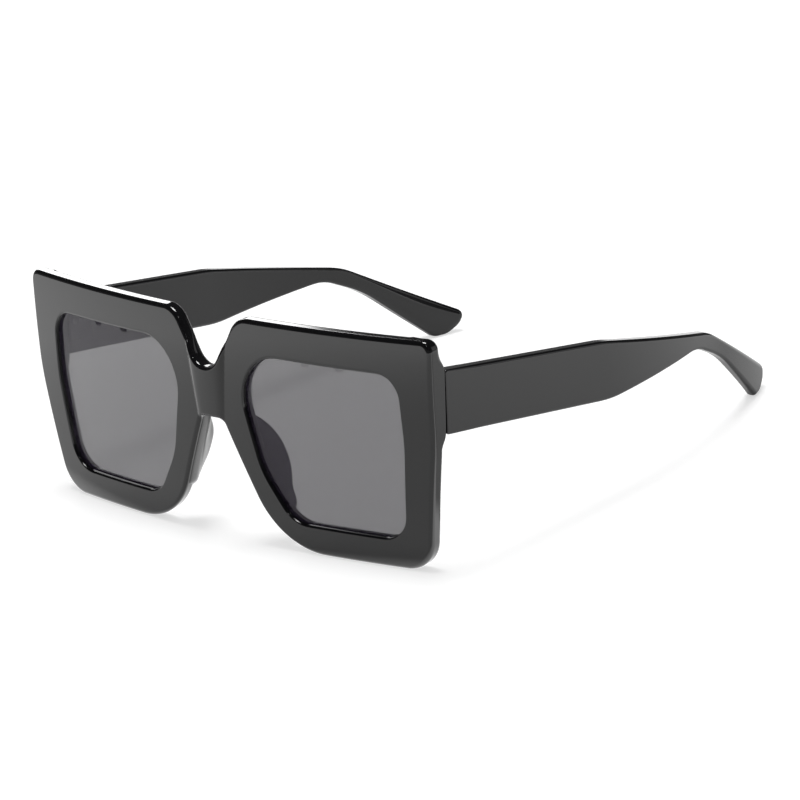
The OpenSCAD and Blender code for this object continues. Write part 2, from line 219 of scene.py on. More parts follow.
class Skin:
    """Points in millimetres and faces, each face with a shading direction at its corners"""

    def __init__(self):
        self.points = []
        self.faces = []
        self.shades = []

    def ring(self, points):
        start = len(self.points)
        self.points.extend(np.asarray(points, float))
        return list(range(start, len(self.points)))

    def face(self, ids, shades):
        p = [self.points[i] for i in ids]
        flat = np.cross(p[1] - p[0], p[2] - p[0])
        if len(p) == 4:
            flat = flat + np.cross(p[2] - p[0], p[3] - p[0])
        if float(flat @ sum(shades)) < 0:
            ids, shades = ids[::-1], shades[::-1]
        self.faces.append(tuple(ids))
        self.shades.extend(shades)

    def band(self, a, b, shade_a, shade_b):
        """Four-sided faces between two closed rings"""
        for i in range(len(a)):
            j = (i + 1) % len(a)
            self.face([a[i], a[j], b[j], b[i]], [shade_a[i], shade_a[j], shade_b[j], shade_b[i]])

    def bands(self, rings, shades):
        for a, b, sa, sb in zip(rings, rings[1:], shades, shades[1:]):
            self.band(a, b, sa, sb)

    def fill(self, loops, dots, lift, plane):
        """Triangles between the first loop and the holes in it; lift gives a dot's place"""
        flat = [tuple(self.points[i][list(plane)]) for loop in loops for i in loop]
        ids = [i for loop in loops for i in loop]
        edges, at = [], 0
        for loop in loops:
            edges += [(at + k, at + (k + 1) % len(loop)) for k in range(len(loop))]
            at += len(loop)
        new = self.ring([lift(*d)[0] for d in dots]) if len(dots) else []
        flat += [tuple(d) for d in dots]
        ids += new
        spots, _, tris, origin, _, _ = delaunay_2d_cdt(
            [Vector(p) for p in flat], edges, [], 0, 1e-7
        )
        spots = np.array([s[:] for s in spots])
        middle = np.array([spots[list(t)].mean(0) for t in tris])
        holes = [np.array([self.points[i][list(plane)] for i in loop]) for loop in loops]
        keep = inside(middle, holes[0])
        for hole in holes[1:]:
            keep &= ~inside(middle, hole)
        shade = [lift(*spots[k])[1] for k in range(len(spots))]
        at_spot = [
            ids[origin[k][0]] if origin[k] else self.ring([lift(*spots[k])[0]])[0]
            for k in range(len(spots))
        ]
        for t in np.nonzero(keep)[0]:
            ks = list(tris[t])
            self.face([at_spot[k] for k in ks], [shade[k] for k in ks])

    def make(self, name, place=None, mirrored=False):
        """The Blender object; place turns millimetres of this skin to the part's frame"""
        points = np.array(self.points)
        shades = np.array(self.shades)
        if place is not None:
            turn = np.array(place.to_3x3())
            points = points @ turn.T + np.array(place.translation)
            shades = shades @ turn.T
        points = points - np.array([0, SHIFT, 0])
        faces = self.faces
        if mirrored:
            points = points * [-1, 1, 1]
            shades = shades * [-1, 1, 1]
            faces = [f[::-1] for f in faces]
            at, turned = 0, []
            for f in faces:
                turned.append(shades[at:at + len(f)][::-1])
                at += len(f)
            shades = np.concatenate(turned)
        mesh = bpy.data.meshes.new(name)
        mesh.from_pydata((points * MM).tolist(), [], faces)
        mesh.polygons.foreach_set("use_smooth", [True] * len(faces))
        mesh.normals_split_custom_set(unit(shades).tolist())
        mesh.update()
        piece = bpy.data.objects.new(name, mesh)
        bpy.context.scene.collection.objects.link(piece)
        return piece


def both_sides(make, name):
    return {s: make(f"{name}_{s}", side) for s, side in (("left", 1), ("right", -1))}


def inside(dots, loop):
    """Which dots lie inside a closed loop"""
    hits = np.zeros(len(dots), bool)
    x, z = dots[:, 0], dots[:, 1]
    for (x0, z0), (x1, z1) in zip(loop, np.roll(loop, -1, axis=0)):
        if z0 != z1:
            hits ^= ((z0 > z) != (z1 > z)) & (x < (x1 - x0) * (z - z0) / (z1 - z0) + x0)
    return hits


def sown(loops, step, gap, extra=()):
    """Even dots inside the first loop, clear of all loops, with finer patches where asked"""
    outer = loops[0]
    low, high = outer.min(0), outer.max(0)
    patches = [(low[0], high[0], low[1], high[1], step, step)] + list(extra)
    dots = []
    for n, (x0, x1, z0, z1, dx, dz) in enumerate(patches):
        xs, zs = np.arange(x0 + dx / 2, x1, dx), np.arange(z0 + dz / 2, z1, dz)
        grid = np.array(np.meshgrid(xs, zs)).reshape(2, -1).T
        for a0, a1, b0, b1, _, _ in patches[n + 1:]:
            x, z = grid[:, 0], grid[:, 1]
            grid = grid[~((x > a0) & (x < a1) & (z > b0) & (z < b1))]
        dots.append((grid, min(dx, dz) * gap))
    kept = []
    edge = np.concatenate(loops)
    for grid, room in dots:
        ok = inside(grid, outer)
        for hole in loops[1:]:
            ok &= ~inside(grid, hole)
        grid = grid[ok]
        for k in range(0, len(grid), 2000):
            part = grid[k:k + 2000]
            far = ((part[:, None, :] - edge[None]) ** 2).sum(2).min(1) > room ** 2
            kept.append(part[far])
    return np.concatenate(kept)


# %% [markdown]
# ## The front
# On the real frame the front is one moulding: two deep square rims, a half-round bridge bar that
# swells out a millimetre before their faces, and an end piece behind each temple corner that
# carries the hinge. Its face and its back are written as heights over the outline: the ball gives
# the bow, a round bar joins it in two fine creases, and a raised pad with sloped ends is the end
# piece, with the pocket that the hinge leaf is sunk into.

# %% Heights of the face and the back
def smooth(t):
    t = np.clip(t, 0, 1)
    return t * t * (3 - 2 * t)


def ball(x, z, depth):
    """How far back the bowed plate lies at x and z, at a depth in its thickness"""
    return BOW_R - math.sqrt((BOW_R - depth) ** 2 - x * x - (z - BOW_Z) ** 2)


bar_low, bar_top = ball(0, ARCH_Z, 0) - BRIDGE_LOW, ball(0, NOTCH_Z, 0) - BRIDGE_OUT
CREASE = 0.1
BAR_ROUND = 0.35
BLEND = 0.18


def face_y(x, z):
    """The nearer of the bowed plate and the bridge bar, joined in a fine crease"""
    plate = ball(x, z, 0)
    if abs(x) > 10:
        return plate
    rise = (z - ARCH_Z) / (NOTCH_Z - ARCH_Z)
    crest = bar_low + (bar_top - bar_low) * rise
    half = BAR_FOOT + (BRIDGE_BAR / 2 - BAR_FOOT) * rise
    t = abs(x) / half
    bar = crest + (ball(half, z, 0) - crest) * (BAR_ROUND * t ** 2 + (1 - BAR_ROUND) * t ** 6)
    close = max(CREASE - abs(bar - plate), 0) / CREASE
    return min(bar, plate) - close * close * CREASE / 4


splay_turn = Matrix.Rotation(-SPLAY, 4, "Z")
hinge_frame = (
    Matrix.Translation((AXIS_X, AXIS_Y, 0)) @ splay_turn
    @ Matrix.Translation((0, 0, HINGE_Z)) @ Matrix.Rotation(-LEAN, 4, "X")
)
to_hinge = hinge_frame.inverted()
butt_out = np.array(hinge_frame.to_3x3() @ Vector((0, 1, 0)))
butt_spot = np.array(hinge_frame @ Vector((0, -FACE_IN, 0)))
LUG_IN = TEMPLE_X - 7.5375
POCKET = (1.5 + FIT, 7.3 + FIT)


def butt_y(x, z):
    """The flat end of the end piece, which the temple closes against"""
    across = butt_out[0] * (x - butt_spot[0]) + butt_out[2] * (z - butt_spot[2])
    return butt_spot[1] - across / butt_out[1]


def back_y(x, z, pocket=True):
    """The bowed back with the raised end piece blended in, and the leaf's pocket if asked"""
    side = abs(x)
    plain = ball(side, z, FRONT_T)
    if side < LUG_IN - 1:
        return plain
    flat = butt_y(side, z)
    spot = to_hinge @ Vector((side, flat, z))
    ramp = LUG_OUT * max(0, abs(spot.z) - LUG_H / 2) / LUG_RISE
    wall = 4 * (1 - smooth((side - LUG_IN + 0.35) / 0.7))
    raised = flat - ramp - wall
    if raised > plain + BLEND:
        top = raised
    elif raised < plain - BLEND:
        top = plain
    else:
        top = (raised + plain) / 2 + (raised - plain) ** 2 / (4 * BLEND) + BLEND / 4
    if pocket:
        over = max(abs(spot.x) - POCKET[0], abs(spot.z) - POCKET[1])
        top -= (LEAF_T + FIT) * (1 - smooth(over / 0.08))
    return top


def slope_of(height, x, z, towards):
    """Shading direction of a height over x and z, towards the front (-1) or the back (+1)"""
    h = 0.02
    dx = (height(x + h, z) - height(x - h, z)) / (2 * h)
    dz = (height(x, z + h) - height(x, z - h)) / (2 * h)
    return unit([-dx * towards, towards, -dz * towards])


def face_lift(x, z):
    return np.array([x, face_y(x, z), z]), slope_of(face_y, x, z, -1)


def back_lift(x, z):
    return np.array([x, back_y(x, z), z]), slope_of(back_y, x, z, 1)


# %% [markdown]
# ### Round edges
# Tumbling and polishing leave the outer edge of the face with a radius of about a millimetre and
# the back edges round enough to touch. At the bottom of the brow notch the back edge falls away
# further, so that little of the saddle shows from the front. Where the end piece closes on the
# temple the edge stays nearly sharp, so the joint shows as a fine line.

# %% Bands round the edges of the front
EDGE_STEPS = 7
FACE_ROLL, SIDE_MORE = 1.05, 0.15
BACK_ROLL, JOINT_ROLL, SADDLE_MORE = 1.5, 0.2, 1.3


def edge_radius(points, wide, sharp):
    """Radius at each outline point: wide, but sharp beside the end piece"""
    out = []
    for x, z in points:
        near = smooth((abs(x) - LUG_IN) / 3) * smooth((LUG_H / 2 + 3.5 - abs(z - HINGE_Z)) / 3)
        out.append(wide + (sharp - wide) * near)
    return np.array(out)


def rolled(skin, outline, sign, height, towards, radius, deep=1.0):
    """Rings that roll from the flat face over the edge into the wall; sign -1 is an opening.
    The roll takes up radius across the face and radius times deep down the wall"""
    points, outs = outline
    deep = np.broadcast_to(deep, len(points))
    rings, shades = [], []
    for k in range(EDGE_STEPS + 1):
        a = math.pi / 2 * k / EDGE_STEPS
        spots = points - sign * outs * (radius * (1 - math.sin(a)))[:, None]
        ring, shade = [], []
        for (x, z), (ox, oz), r, far in zip(spots, outs, radius, deep):
            y = height(x, z) - towards * r * far * (1 - math.cos(a))
            flat, out = slope_of(height, x, z, towards), np.array([ox, 0, oz])
            ring.append([x, y, z])
            shade.append(unit(math.cos(a) * flat + math.sin(a) * far * sign * out))
        rings.append(skin.ring(ring))
        shades.append(np.array(shade))
    return rings, shades


def plain_back(x, z):
    return back_y(x, z, pocket=False)


front = Skin()
face_radius = FACE_ROLL + SIDE_MORE * front_outline[1][:, 0] ** 2
fr, fs = rolled(front, front_outline, 1, face_y, -1, face_radius)
saddle = np.array([smooth((7.5 - abs(x)) / 3) if z > 44 else 0.0 for x, z in front_outline[0]])
back_radius = edge_radius(front_outline[0], BACK_ROLL, JOINT_ROLL)
br, bs = rolled(front, front_outline, 1, plain_back, 1, back_radius, 1 + SADDLE_MORE * saddle)
front.bands(fr, fs)
front.bands(br, bs)
front.band(fr[-1], br[-1], fs[-1], bs[-1])

# %% [markdown]
# ### Lens openings
# The lens snaps into a groove cut round the opening. From the front the eye sees the edge roll
# over, a short black wall, and the lens that enters the groove behind it. The edge is crisp, but
# softer along the top, where the photograph shows a light line.

# %% Bands of the openings, with the groove
LIP_ROLL, LIP_TOP_MORE, LIP_DEEP = 0.42, 0.6, 0.84
INNER_ROLL, INNER_SHARE = 1.3, 0.7


def at_depth(outline, grow, depth):
    points, outs = outline
    spots = points + outs * grow
    return np.array([[x, ball(x, z, depth), z] for x, z in spots])


face_loops, back_loops = [fr[0]], [br[0]]
for side in (1, -1):
    points, outs = opening_outline
    outline = (points * [side, 1], outs * [side, 1])
    count = len(points)
    lip = LIP_ROLL + LIP_TOP_MORE * np.clip(outs[:, 1], 0, 1) ** 4
    of, os_ = rolled(front, outline, -1, face_y, -1, lip, LIP_DEEP / lip)
    ob, osb = rolled(front, outline, -1, plain_back, 1, np.full(count, INNER_ROLL), INNER_SHARE)
    inward = -np.array([[ox, 0, oz] for ox, oz in outline[1]])
    forward = np.tile([0.0, -1.0, 0.0], (count, 1))
    groove = [
        front.ring(at_depth(outline, 0, LENS_RECESS - FIT)),
        front.ring(at_depth(outline, GROOVE_D, LENS_RECESS - FIT)),
        front.ring(at_depth(outline, GROOVE_D, LENS_RECESS + LENS_T + FIT)),
        front.ring(at_depth(outline, 0, LENS_RECESS + LENS_T + FIT)),
    ]
    front.bands(of, os_)
    front.bands(ob, osb)
    front.band(of[-1], groove[0], inward, inward)
    front.band(groove[0], groove[1], -forward, -forward)
    front.band(groove[1], groove[2], inward, inward)
    front.band(groove[2], groove[3], forward, forward)
    front.band(groove[3], ob[-1], inward, inward)
    face_loops.append(of[0])
    back_loops.append(ob[0])

# %% Broad faces of the front
PLAN = (0, 2)


def flat_loops(skin, loops, plane):
    return [np.array([skin.points[i][list(plane)] for i in loop]) for loop in loops]


# Finer dots where the surface bends: x from, x to, z from, z to, and the step in x and in z
saddle_patch = (-9.0, 9.0, 30.0, 60.0, 0.25, 0.8)
face_dots = sown(flat_loops(front, face_loops, PLAN), 1.4, 0.45, [saddle_patch])
front.fill(face_loops, face_dots, face_lift, PLAN)

for side in (1, -1):
    for grow in (-0.01, 0.09):
        loop = []
        w, h = POCKET[0] + grow, POCKET[1] + grow
        corners = [(-w, h), (w, h), (w, -h), (-w, -h)]
        for (xa, za), (xb, zb) in zip(corners, corners[1:] + corners[:1]):
            parts = max(3, int(math.hypot(xb - xa, zb - za) / 0.5))
            for k in range(parts):
                x, z = xa + (xb - xa) * k / parts, za + (zb - za) * k / parts
                spot = hinge_frame @ Vector((x, -FACE_IN, z))
                loop.append([side * spot.x, back_y(spot.x, spot.z), spot.z])
        back_loops.append(front.ring(loop))
pocket_rings = back_loops[3:]
holes = back_loops[:3]
lug_patches = [(s * 68.9 - 4.6, s * 68.9 + 4.6, 28.0, 58.5, 0.35, 0.45) for s in (1, -1)]
rims = flat_loops(front, holes + [pocket_rings[1], pocket_rings[3]], PLAN)
back_dots = sown(rims, 1.6, 0.45, lug_patches)
front.fill(holes + [pocket_rings[1], pocket_rings[3]], back_dots, back_lift, PLAN)
for inner, outer in ((pocket_rings[0], pocket_rings[1]), (pocket_rings[2], pocket_rings[3])):
    away = np.array([back_lift(*front.points[i][list(PLAN)])[1] for i in outer])
    front.band(outer, inner, away, away)
    front.fill([inner], [], back_lift, PLAN)
front_piece = front.make("front_moulding")
print("front moulding:", len(front.faces), "faces")

# %% [markdown]
# ## Lenses
# A tinted lens is a thin shell cut from a larger ball, with its edge ground square to sit in the
# groove. It is laid like the front: a rim band and two broad faces, with the shading of the true
# ball, so that the floor's reflection runs over it evenly.

# %% Lens shells
def lens_shell(name, side):
    skin = Skin()
    outs = opening_outline[1]
    grow = GROOVE_D - FIT
    shells = []
    for depth, towards in ((LENS_RECESS, -1), (LENS_RECESS + LENS_T, 1)):
        ring = skin.ring(at_depth(opening_outline, grow, depth))

        def lift(x, z, depth=depth, towards=towards):
            spot = np.array([x, ball(x, z, depth), z])
            centre = np.array([0, BOW_R, BOW_Z])
            return spot, unit(centre - spot) * towards

        dots = sown(flat_loops(skin, [ring], PLAN), 2.2, 0.45)
        skin.fill([ring], dots, lift, PLAN)
        shells.append(ring)
    rim = np.array([[ox, 0, oz] for ox, oz in outs])
    skin.band(shells[0], shells[1], rim, rim)
    return skin.make(name, mirrored=side < 0)


lens_pieces = both_sides(lens_shell, "lens_shell")
print("lenses:", {s: len(o.data.polygons) for s, o in lens_pieces.items()})

# %% [markdown]
# ## Temples
# A temple is cut or moulded as a flat profile, bent inwards behind the ear, and its edges are
# rounded over by tumbling. The skin follows the profile round both edges; towards the tip the
# rounding grows until the edge is fully round, and at the joint it is nearly sharp.

# %% Temple skins
temple_outline = rounded(temple_corners, step=1.2)


def layer_x(y, depth):
    """The temple's x at y, at a depth from its outer side: straight, then bent round the ear"""
    if y < EAR_Y:
        return TEMPLE_X - depth
    return TEMPLE_X - EAR_R + math.sqrt((EAR_R - depth) ** 2 - (y - EAR_Y) ** 2)


def layer_out(y, depth):
    """The outward direction of that layer"""
    if y < EAR_Y:
        return np.array([1.0, 0.0, 0.0])
    s = (y - EAR_Y) / (EAR_R - depth)
    return np.array([math.sqrt(1 - s * s), s, 0.0])


def temple_radius(points, crown=0.0):
    """Edge radius: fine at the joint, larger at the tip, with a wide crown there if asked"""
    out = []
    for y, z in points:
        joint = smooth((y - TEMPLE_Y - 0.4) / 2.5)
        tip = smooth((y - TEMPLE_Y - 0.72 * TEMPLE_L) / (0.2 * TEMPLE_L))
        out.append(0.4 + 0.45 * joint + 0.7 * tip + crown * tip)
    return eased(temple_outline, np.array(out))


on_axis = Matrix.Translation((AXIS_X, AXIS_Y, 0))
splayed = on_axis @ splay_turn @ on_axis.inverted()
to_splayed = splayed.inverted() @ hinge_frame
SIDE_PLAN = (1, 2)
LEAF_POCKET = ((-0.6 - FIT, 10.4 + FIT), (-5.2 - FIT, 5.2 + FIT))


def sunk_leaf(y, z):
    """Depth of the pocket for the temple leaf on the inner side"""
    dy, dz = y - AXIS_Y, z - HINGE_Z
    along = dy * math.cos(LEAN) - dz * math.sin(LEAN)
    up = dy * math.sin(LEAN) + dz * math.cos(LEAN)
    over = max(
        LEAF_POCKET[0][0] - along, along - LEAF_POCKET[0][1],
        LEAF_POCKET[1][0] - up, up - LEAF_POCKET[1][1],
    )
    return (LEAF_T + FIT) * (1 - smooth(over / 0.08))


def temple_skin(name, side):
    skin = Skin()
    points, outs = temple_outline
    loops = []
    walls = []
    for inner in (False, True):
        drops = temple_radius(points)
        insets = temple_radius(points, 2.2) if inner else drops
        rings, shades = [], []
        for k in range(EDGE_STEPS + 1):
            a = math.pi / 2 * k / EDGE_STEPS
            ring, shade = [], []
            for (y, z), (oy, oz), r, wide in zip(points, outs, drops, insets):
                inset, drop = wide * (1 - math.sin(a)), r * (1 - math.cos(a))
                depth = TEMPLE_T - drop if inner else drop
                yy, zz = y - inset * oy, z - inset * oz
                away = layer_out(yy, depth) * (-1 if inner else 1)
                ring.append([layer_x(yy, depth), yy, zz])
                over = r * math.sin(a) * np.array([0, oy, oz])
                shade.append(unit(wide * math.cos(a) * away + over))
            rings.append(skin.ring(ring))
            shades.append(np.array(shade))
        skin.bands(rings, shades)
        loops.append(rings[0])
        walls.append((rings[-1], shades[-1]))
    skin.band(walls[0][0], walls[1][0], walls[0][1], walls[1][1])

    def outer_lift(y, z):
        return np.array([layer_x(y, 0), y, z]), layer_out(y, 0)

    def inner_lift(y, z):
        depth = TEMPLE_T - sunk_leaf(y, z)
        return np.array([layer_x(y, depth), y, z]), -layer_out(y, depth)

    outer_dots = sown(flat_loops(skin, [loops[0]], SIDE_PLAN), 2.0, 0.45)
    skin.fill([loops[0]], outer_dots, outer_lift, SIDE_PLAN)
    pocket = []
    for grow in (-0.005, 0.085):
        (a0, a1), (b0, b1) = LEAF_POCKET
        a0 = max(a0 - grow, -0.75)
        a1, b0, b1 = a1 + grow, b0 - grow, b1 + grow
        corners = [(a0, b1), (a1, b1), (a1, b0), (a0, b0)]
        loop = []
        for (ya, za), (yb, zb) in zip(corners, corners[1:] + corners[:1]):
            for k in range(12):
                spot = to_splayed @ Vector((0, ya + (yb - ya) * k / 12, za + (zb - za) * k / 12))
                depth = TEMPLE_T - (sunk_leaf(spot.y, spot.z) if grow < 0 else 0)
                loop.append([layer_x(spot.y, depth), spot.y, spot.z])
        pocket.append(skin.ring(loop))
    rims = flat_loops(skin, [loops[1], pocket[1]], SIDE_PLAN)
    inner_dots = sown(rims, 2.0, 0.45)
    skin.fill([loops[1], pocket[1]], inner_dots, inner_lift, SIDE_PLAN)
    inward = np.tile([-1.0, 0.0, 0.0], (len(pocket[0]), 1))
    skin.band(pocket[1], pocket[0], inward, inward)
    skin.fill([pocket[0]], [], inner_lift, SIDE_PLAN)
    return skin.make(name, place=splayed, mirrored=side < 0)


temple_pieces = both_sides(temple_skin, "temple_arm")
print("temples:", {s: len(o.data.polygons) for s, o in temple_pieces.items()})

# %% [markdown]
# ## Nose pads
# The pads are moulded fins that stand out behind the rims and carry the frame on the nose. They
# start right behind the edge of the face, swell over the flank of the rim and run out into a
# soft fin, so the skin is lofted: one closed section at each height, with its own reach and
# turn. Towards the foot the fin turns outwards and sinks into the rim's rounded corner.

# %% Nose pad skins
PAD_T = 2.4
FLANK_LEAN = math.atan2(FOOT_X - ARCH_HALF, ARCH_Z)
PAD_Z = 0.62 * ARCH_Z
PAD_X = ARCH_HALF + (ARCH_Z - PAD_Z) * (FOOT_X - ARCH_HALF) / ARCH_Z
FLANK_OUT = np.array([-math.cos(FLANK_LEAN), 0.0, -math.sin(FLANK_LEAN)])
FLANK_UP = np.array([-math.sin(FLANK_LEAN), 0.0, math.cos(FLANK_LEAN)])
# Height on the flank, and how far the fin reaches there
pad_reach = np.array([
    (-16.5, 0.0), (-15.5, 3.0), (-14, 4.2), (-11.3, 5.4), (-6, 7.8), (-2, 8.8), (2.7, 8.8),
    (7, 7.7), (10.5, 6.0), (12.3, 4.2), (13.6, 2.4), (14.8, 0.0),
])
# Height on the flank, and the fin's angle from straight back in degrees
pad_turn = np.array([
    (-16, 50), (-14, 43), (-12, 39), (-10, 33), (-8, 30), (-6, 26), (-4, 25), (1, 25), (4, 30),
    (6, 36), (9, 42),
])
ROOT_DEEP, ROOT_SWELL, FOOT_TOP = 2.6, 0.35, -7.9


def table(rows, up, *steps):
    """The mean of a table's values at some steps from a height"""
    return sum(float(np.interp(up + d, rows[:, 0], rows[:, 1])) for d in steps) / len(steps)


def pad_section(up, reach):
    """Points (out of the flank, behind the face) round the pad at one height"""
    fade = min(1.0, reach / 6.0)
    splay = math.radians(table(pad_turn, up, -1.0, 0.0, 1.0))
    lean, back = math.sin(splay), math.cos(splay)
    spots = [(-0.5, 0.6), (0.05 * fade, 1.1), (0.25 * fade, 2.0), (ROOT_SWELL * fade, 3.0)]
    long = max(reach - PAD_T / 2, 0.3)
    for a in np.linspace(0.0, long, 7):
        swell = ROOT_SWELL * fade * (1 - smooth(a / 6.0))
        spots.append((swell - a * lean, FRONT_T + a * back))
    for k in range(1, 8):
        turn = math.pi * k / 8
        a, n = long + PAD_T / 2 * math.sin(turn), -PAD_T / 2 * (1 - math.cos(turn))
        spots.append((n * back - a * lean, FRONT_T + a * back + n * lean))
    for a in np.linspace(long, 0.0, 5):
        spots.append((-PAD_T * back - a * lean, FRONT_T + a * back - PAD_T * lean))
    spots.append((-2.0, 1.4))
    return np.array(spots)


def pad_skin(name, side):
    skin = Skin()
    ups = np.concatenate([[-16.5, -16.3], np.arange(-16, 14.2, 0.7), [14.5, 14.8]])
    grid = []
    for up in ups:
        steps = (0.0, -1.2, -0.6, 0.6, 1.2) if -15.5 < up < 14 else (0.0,)
        reach = table(pad_reach, up, *steps)
        shrink = min(1.0, reach / 3.0) ** 0.7
        section = pad_section(up, reach) - (0, ROOT_DEEP)
        row = []
        curve = FOOT_R - math.sqrt(FOOT_R ** 2 - min(0.0, up - FOOT_TOP) ** 2)
        sunk = 1.4 * smooth((-8.5 - up) / 5)
        for n, d in section * shrink + (-curve - sunk, ROOT_DEEP):
            x, _, z = np.array([PAD_X, 0, PAD_Z]) + FLANK_OUT * n + FLANK_UP * up
            row.append([x, ball(x, z, 0) + d, z])
        grid.append(row)
    grid = np.array(grid)
    along = np.gradient(grid, axis=0)
    round_ = (np.roll(grid, -1, axis=1) - np.roll(grid, 1, axis=1)) / 2
    normal = np.cross(along, round_)
    normal[0], normal[-1] = -FLANK_UP, FLANK_UP
    middle = grid.mean(1, keepdims=True)
    if float(((grid - middle)[5:-5] * normal[5:-5]).sum()) < 0:
        normal[1:-1] *= -1
    rings = [skin.ring(row) for row in grid]
    skin.bands(rings, [unit(row) for row in normal])
    return skin.make(name, mirrored=side < 0)


pad_pieces = both_sides(pad_skin, "nose_fin")
print("nose pads:", {s: len(o.data.polygons) for s, o in pad_pieces.items()})

# %% [markdown]
# ## Materials
# Colours are written as the hex values a paint or plastic sample would have, and one function
# turns them to the linear values that Blender works in. One more small function adds a node with
# its settings and links, so a material reads as a short list, and two short forms of it cover
# the nodes that only reckon with numbers.

# %% Colour and node helpers
def linear(hex_colour):
    """Linear RGBA of an sRGB hex colour"""
    parts = [int(hex_colour[k:k + 2], 16) / 255 for k in (1, 3, 5)]
    light = [c / 12.92 if c <= 0.04045 else ((c + 0.055) / 1.055) ** 2.4 for c in parts]
    return (*light, 1.0)


def add(tree, kind, settings=None, values=None, links=None):
    """Adds a node: settings are its properties, values its sockets, links socket to output"""
    node = tree.nodes.new(kind)
    for key, value in (settings or {}).items():
        setattr(node, key, value)
    for key, value in (values or {}).items():
        node.inputs[key].default_value = value
    for key, source in (links or {}).items():
        tree.links.new(node.inputs[key], source)
    return node


def reckon(tree, operation, *terms):
    """The result of a math node for terms that are numbers or outputs"""
    numbers = {k: term for k, term in enumerate(terms) if isinstance(term, (int, float))}
    outputs = {k: term for k, term in enumerate(terms) if k not in numbers}
    return add(tree, "ShaderNodeMath", {"operation": operation}, numbers, outputs).outputs[0]


def carried(tree, value, low, high, start, end, way="SMOOTHSTEP"):
    """An output carried from the range low to high over to the range start to end"""
    ends = {"From Min": low, "From Max": high, "To Min": start, "To Max": end}
    node = add(tree, "ShaderNodeMapRange", {"interpolation_type": way}, ends, {"Value": value})
    return node.outputs["Result"]


def mottled(tree, fac, light, dark):
    """A colour between two hex values, led by a noise"""
    tone = add(tree, "ShaderNodeMix", {"data_type": "RGBA"}, links={"Factor": fac})
    tone.inputs["A"].default_value = linear(light)
    tone.inputs["B"].default_value = linear(dark)
    return tone.outputs["Result"]


def new_material(name):
    material = bpy.data.materials.new(name)
    material.use_nodes = True
    material.node_tree.nodes.clear()
    return material, material.node_tree


PER_MM = 1000.0

# %% [markdown]
# ### Polished moulded polycarbonate
# The frame is black polycarbonate from a polished mould. Its index of refraction of about 1.585
# gives the strong grey sheen of the bright floor on an otherwise black piece. A polished mould
# still leaves a very faint swell, about a centimetre from crest to crest, and handling leaves
# hair-fine rub marks that only change how sharp the gloss is.

# %% Frame plastic
def polished_plastic(name, colour, worn, rough):
    material, tree = new_material(name)
    where = add(tree, "ShaderNodeTexCoord").outputs["Object"]
    swell = add(
        tree, "ShaderNodeTexNoise", values={"Scale": PER_MM / 11, "Detail": 1.0},
        links={"Vector": where},
    )
    rub_space = add(
        tree, "ShaderNodeMapping", values={"Scale": (1.0, 0.25, 1.6)}, links={"Vector": where},
    )
    rubs = add(
        tree, "ShaderNodeTexNoise", values={"Scale": PER_MM / 1.6, "Detail": 4.0, "Roughness": 0.6},
        links={"Vector": rub_space.outputs["Vector"]},
    )
    gloss = carried(tree, rubs.outputs["Fac"], 0, 1, rough * 0.8, rough * 1.3, "LINEAR")
    ripple = add(
        tree, "ShaderNodeBump", values={"Strength": 0.035, "Distance": 0.0006},
        links={"Height": swell.outputs["Fac"]},
    )
    surface = add(
        tree, "ShaderNodeBsdfPrincipled", values={"IOR": 1.585},
        links={
            "Base Color": mottled(tree, swell.outputs["Fac"], colour, worn),
            "Roughness": gloss,
            "Normal": ripple.outputs["Normal"],
        },
    )
    add(tree, "ShaderNodeOutputMaterial", links={"Surface": surface.outputs["BSDF"]})
    return material


frame_black = polished_plastic("polished_moulded_polycarbonate", "#0c0c0d", "#111113", 0.09)
pad_black = polished_plastic("moulded_polycarbonate_pads", "#131314", "#18181a", 0.16)

# %% [markdown]
# ### Smoke-tinted lens
# A smoke grey lens passes about a seventh of the light. The tint is spread over its two surfaces,
# so each one covers about six tenths of what lies behind, and both keep a hard, clean gloss.
# A hard coat is never quite even, which the faint change of its roughness stands for.

# %% Lens tint
def smoke_lens():
    material, tree = new_material("smoke_tinted_hard_coated_lens")
    where = add(tree, "ShaderNodeTexCoord").outputs["Object"]
    cloud = add(
        tree, "ShaderNodeTexNoise", values={"Scale": PER_MM / 18, "Detail": 2.0},
        links={"Vector": where},
    ).outputs["Fac"]
    surface = add(
        tree, "ShaderNodeBsdfPrincipled", values={"IOR": 1.5, "Alpha": 0.615},
        links={
            "Base Color": mottled(tree, cloud, "#362f3f", "#3b3444"),
            "Roughness": carried(tree, cloud, 0, 1, 0.015, 0.04, "LINEAR"),
        },
    )
    add(tree, "ShaderNodeOutputMaterial", links={"Surface": surface.outputs["BSDF"]})
    return material


lens_tint = smoke_lens()

# %% [markdown]
# ### Hinge metals
# The hinge leaves are stamped nickel silver with a black nickel plating, so that nothing bright
# shows through the lenses of a black frame, and their screws are blackened steel. The wire cores
# are bright, but they lie unseen inside the temples. All keep the default index of refraction,
# because a metal's colour is in its base colour.

# %% Metals
def stamped_metal(name, light, dark, rough, grain_mm):
    material, tree = new_material(name)
    where = add(tree, "ShaderNodeTexCoord").outputs["Object"]
    grain = add(
        tree, "ShaderNodeTexNoise",
        values={"Scale": PER_MM / grain_mm, "Detail": 5.0, "Roughness": 0.65},
        links={"Vector": where},
    ).outputs["Fac"]
    relief = add(
        tree, "ShaderNodeBump", values={"Strength": 0.15, "Distance": 0.00005},
        links={"Height": grain},
    )
    surface = add(
        tree, "ShaderNodeBsdfPrincipled", values={"Metallic": 1.0},
        links={
            "Base Color": mottled(tree, grain, light, dark),
            "Roughness": carried(tree, grain, 0, 1, rough * 0.7, rough * 1.3, "LINEAR"),
            "Normal": relief.outputs["Normal"],
        },
    )
    add(tree, "ShaderNodeOutputMaterial", links={"Surface": surface.outputs["BSDF"]})
    return material


